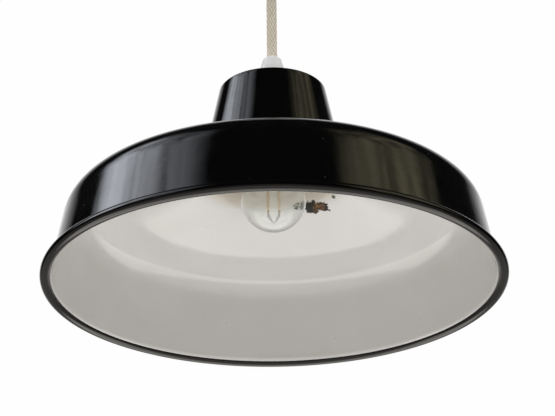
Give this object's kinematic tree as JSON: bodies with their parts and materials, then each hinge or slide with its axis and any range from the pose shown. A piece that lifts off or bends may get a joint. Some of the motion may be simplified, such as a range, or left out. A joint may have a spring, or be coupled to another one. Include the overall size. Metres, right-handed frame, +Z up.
{
  "type": "pendant ceiling light",
  "caption": "Pendant ceiling light: stepped dome shade in black enamelled steel, white inside, on a short taut braided flex from a ceiling rose, with a clear filament bulb.",
  "frame": {"origin": "centre of the ceiling rose's flat face, which lies on the ceiling", "axes": "+Z up out of the rose into the ceiling; the lamp hangs along -Z; +X along the rose's two fixing slots"},
  "size_m": [0.305, 0.305, 0.272],
  "materials": {
    "white_plastic": "moulded urea, satin gloss",
    "nylon_screw": "moulded nylon",
    "zinc_steel": "bright zinc plate",
    "brass": "turned and pressed",
    "braided_flex": "braided linen-coloured cotton over a round core",
    "core_brown": "extruded",
    "core_blue": "extruded",
    "core_green": "extruded, green and yellow",
    "black_enamel": "gloss vitreous enamel on pressed steel",
    "white_enamel": "gloss white vitreous enamel",
    "porcelain": "fired, unglazed faces",
    "clear_glass": "blown, clear",
    "black_glass": "moulded",
    "nickel_plate": "nickel plated",
    "solder": "tinned",
    "circuit_board": "glass fibre board",
    "components": "moulded",
    "phosphor": "silicone with phosphor",
    "support_wire": "drawn"
  },
  "bodies": {
    "ceiling_rose": {"rose_base": "white_plastic", "rose_cover": "white_plastic", "rose_clamp_jaw": "white_plastic", "rose_clamp_screws": "zinc_steel", "rose_terminal_carrier": "white_plastic", "rose_terminals": "brass", "rose_terminal_screws": "zinc_steel", "core_live_upper": "core_brown", "core_neutral_upper": "core_blue", "core_earth_upper": "core_green", "flex_clamped_end": "braided_flex"},
    "flex_bend": {"flex_bend": "braided_flex"},
    "flex": {"flex": "braided_flex"},
    "lamp": {"cord_grip": "white_plastic", "cord_grip_screw": "nylon_screw", "upper_washer": "zinc_steel", "threaded_stem": "brass", "lower_washer": "zinc_steel", "lock_nut": "zinc_steel", "shade_shell": "black_enamel", "shade_white_lining": "white_enamel", "holder_cap": "white_plastic", "holder_lock_screw": "zinc_steel", "holder_skirt": "white_plastic", "holder_insert": "porcelain", "holder_centre_contact": "brass", "holder_screw_shell": "brass", "holder_terminals": "brass", "holder_terminal_screws": "zinc_steel", "flex_tail": "braided_flex", "earth_tag": "brass", "core_live_lower": "core_brown", "core_neutral_lower": "core_blue", "core_earth_lower": "core_green"},
    "bulb_tip": {"bulb_tip_contact": "solder"},
    "bulb": {"bulb_insulator": "black_glass", "bulb_cap_shell": "nickel_plate", "bulb_driver_board": "circuit_board", "bulb_driver_components": "components", "bulb_glass": "clear_glass", "bulb_glass_stem": "clear_glass", "bulb_filaments": "phosphor", "bulb_lower_wires": "support_wire", "bulb_upper_wires": "support_wire"}
  },
  "joints": [
    {"name": "swing_side", "type": "hinge", "parent": "ceiling_rose", "child": "flex_bend", "pos_m": [0, 0, -0.037], "axis": [0, 1, 0], "range_deg": [-15, 15]},
    {"name": "swing_front", "type": "hinge", "parent": "flex_bend", "child": "flex", "pos_m": [0, 0, -0.037], "axis": [1, 0, 0], "range_deg": [-15, 15]},
    {"name": "flex_twist", "type": "hinge", "parent": "flex", "child": "lamp", "pos_m": [0, 0, -0.101], "axis": [0, 0, 1], "range_deg": [-90, 90]},
    {"name": "bulb_travel", "type": "slide", "parent": "lamp", "child": "bulb_tip", "axis": [0, 0, -1], "range_m": [0, 0.0109]},
    {"name": "bulb_turn", "type": "hinge", "parent": "bulb_tip", "child": "bulb", "pos_m": [0, 0, -0.155], "axis": [0, 0, -1], "range_deg": [0, 1080]}
  ],
  "couplings": [
    {"joint": "bulb_travel", "follows": "bulb_turn", "m_per_rad": 0.00057757}
  ]
}
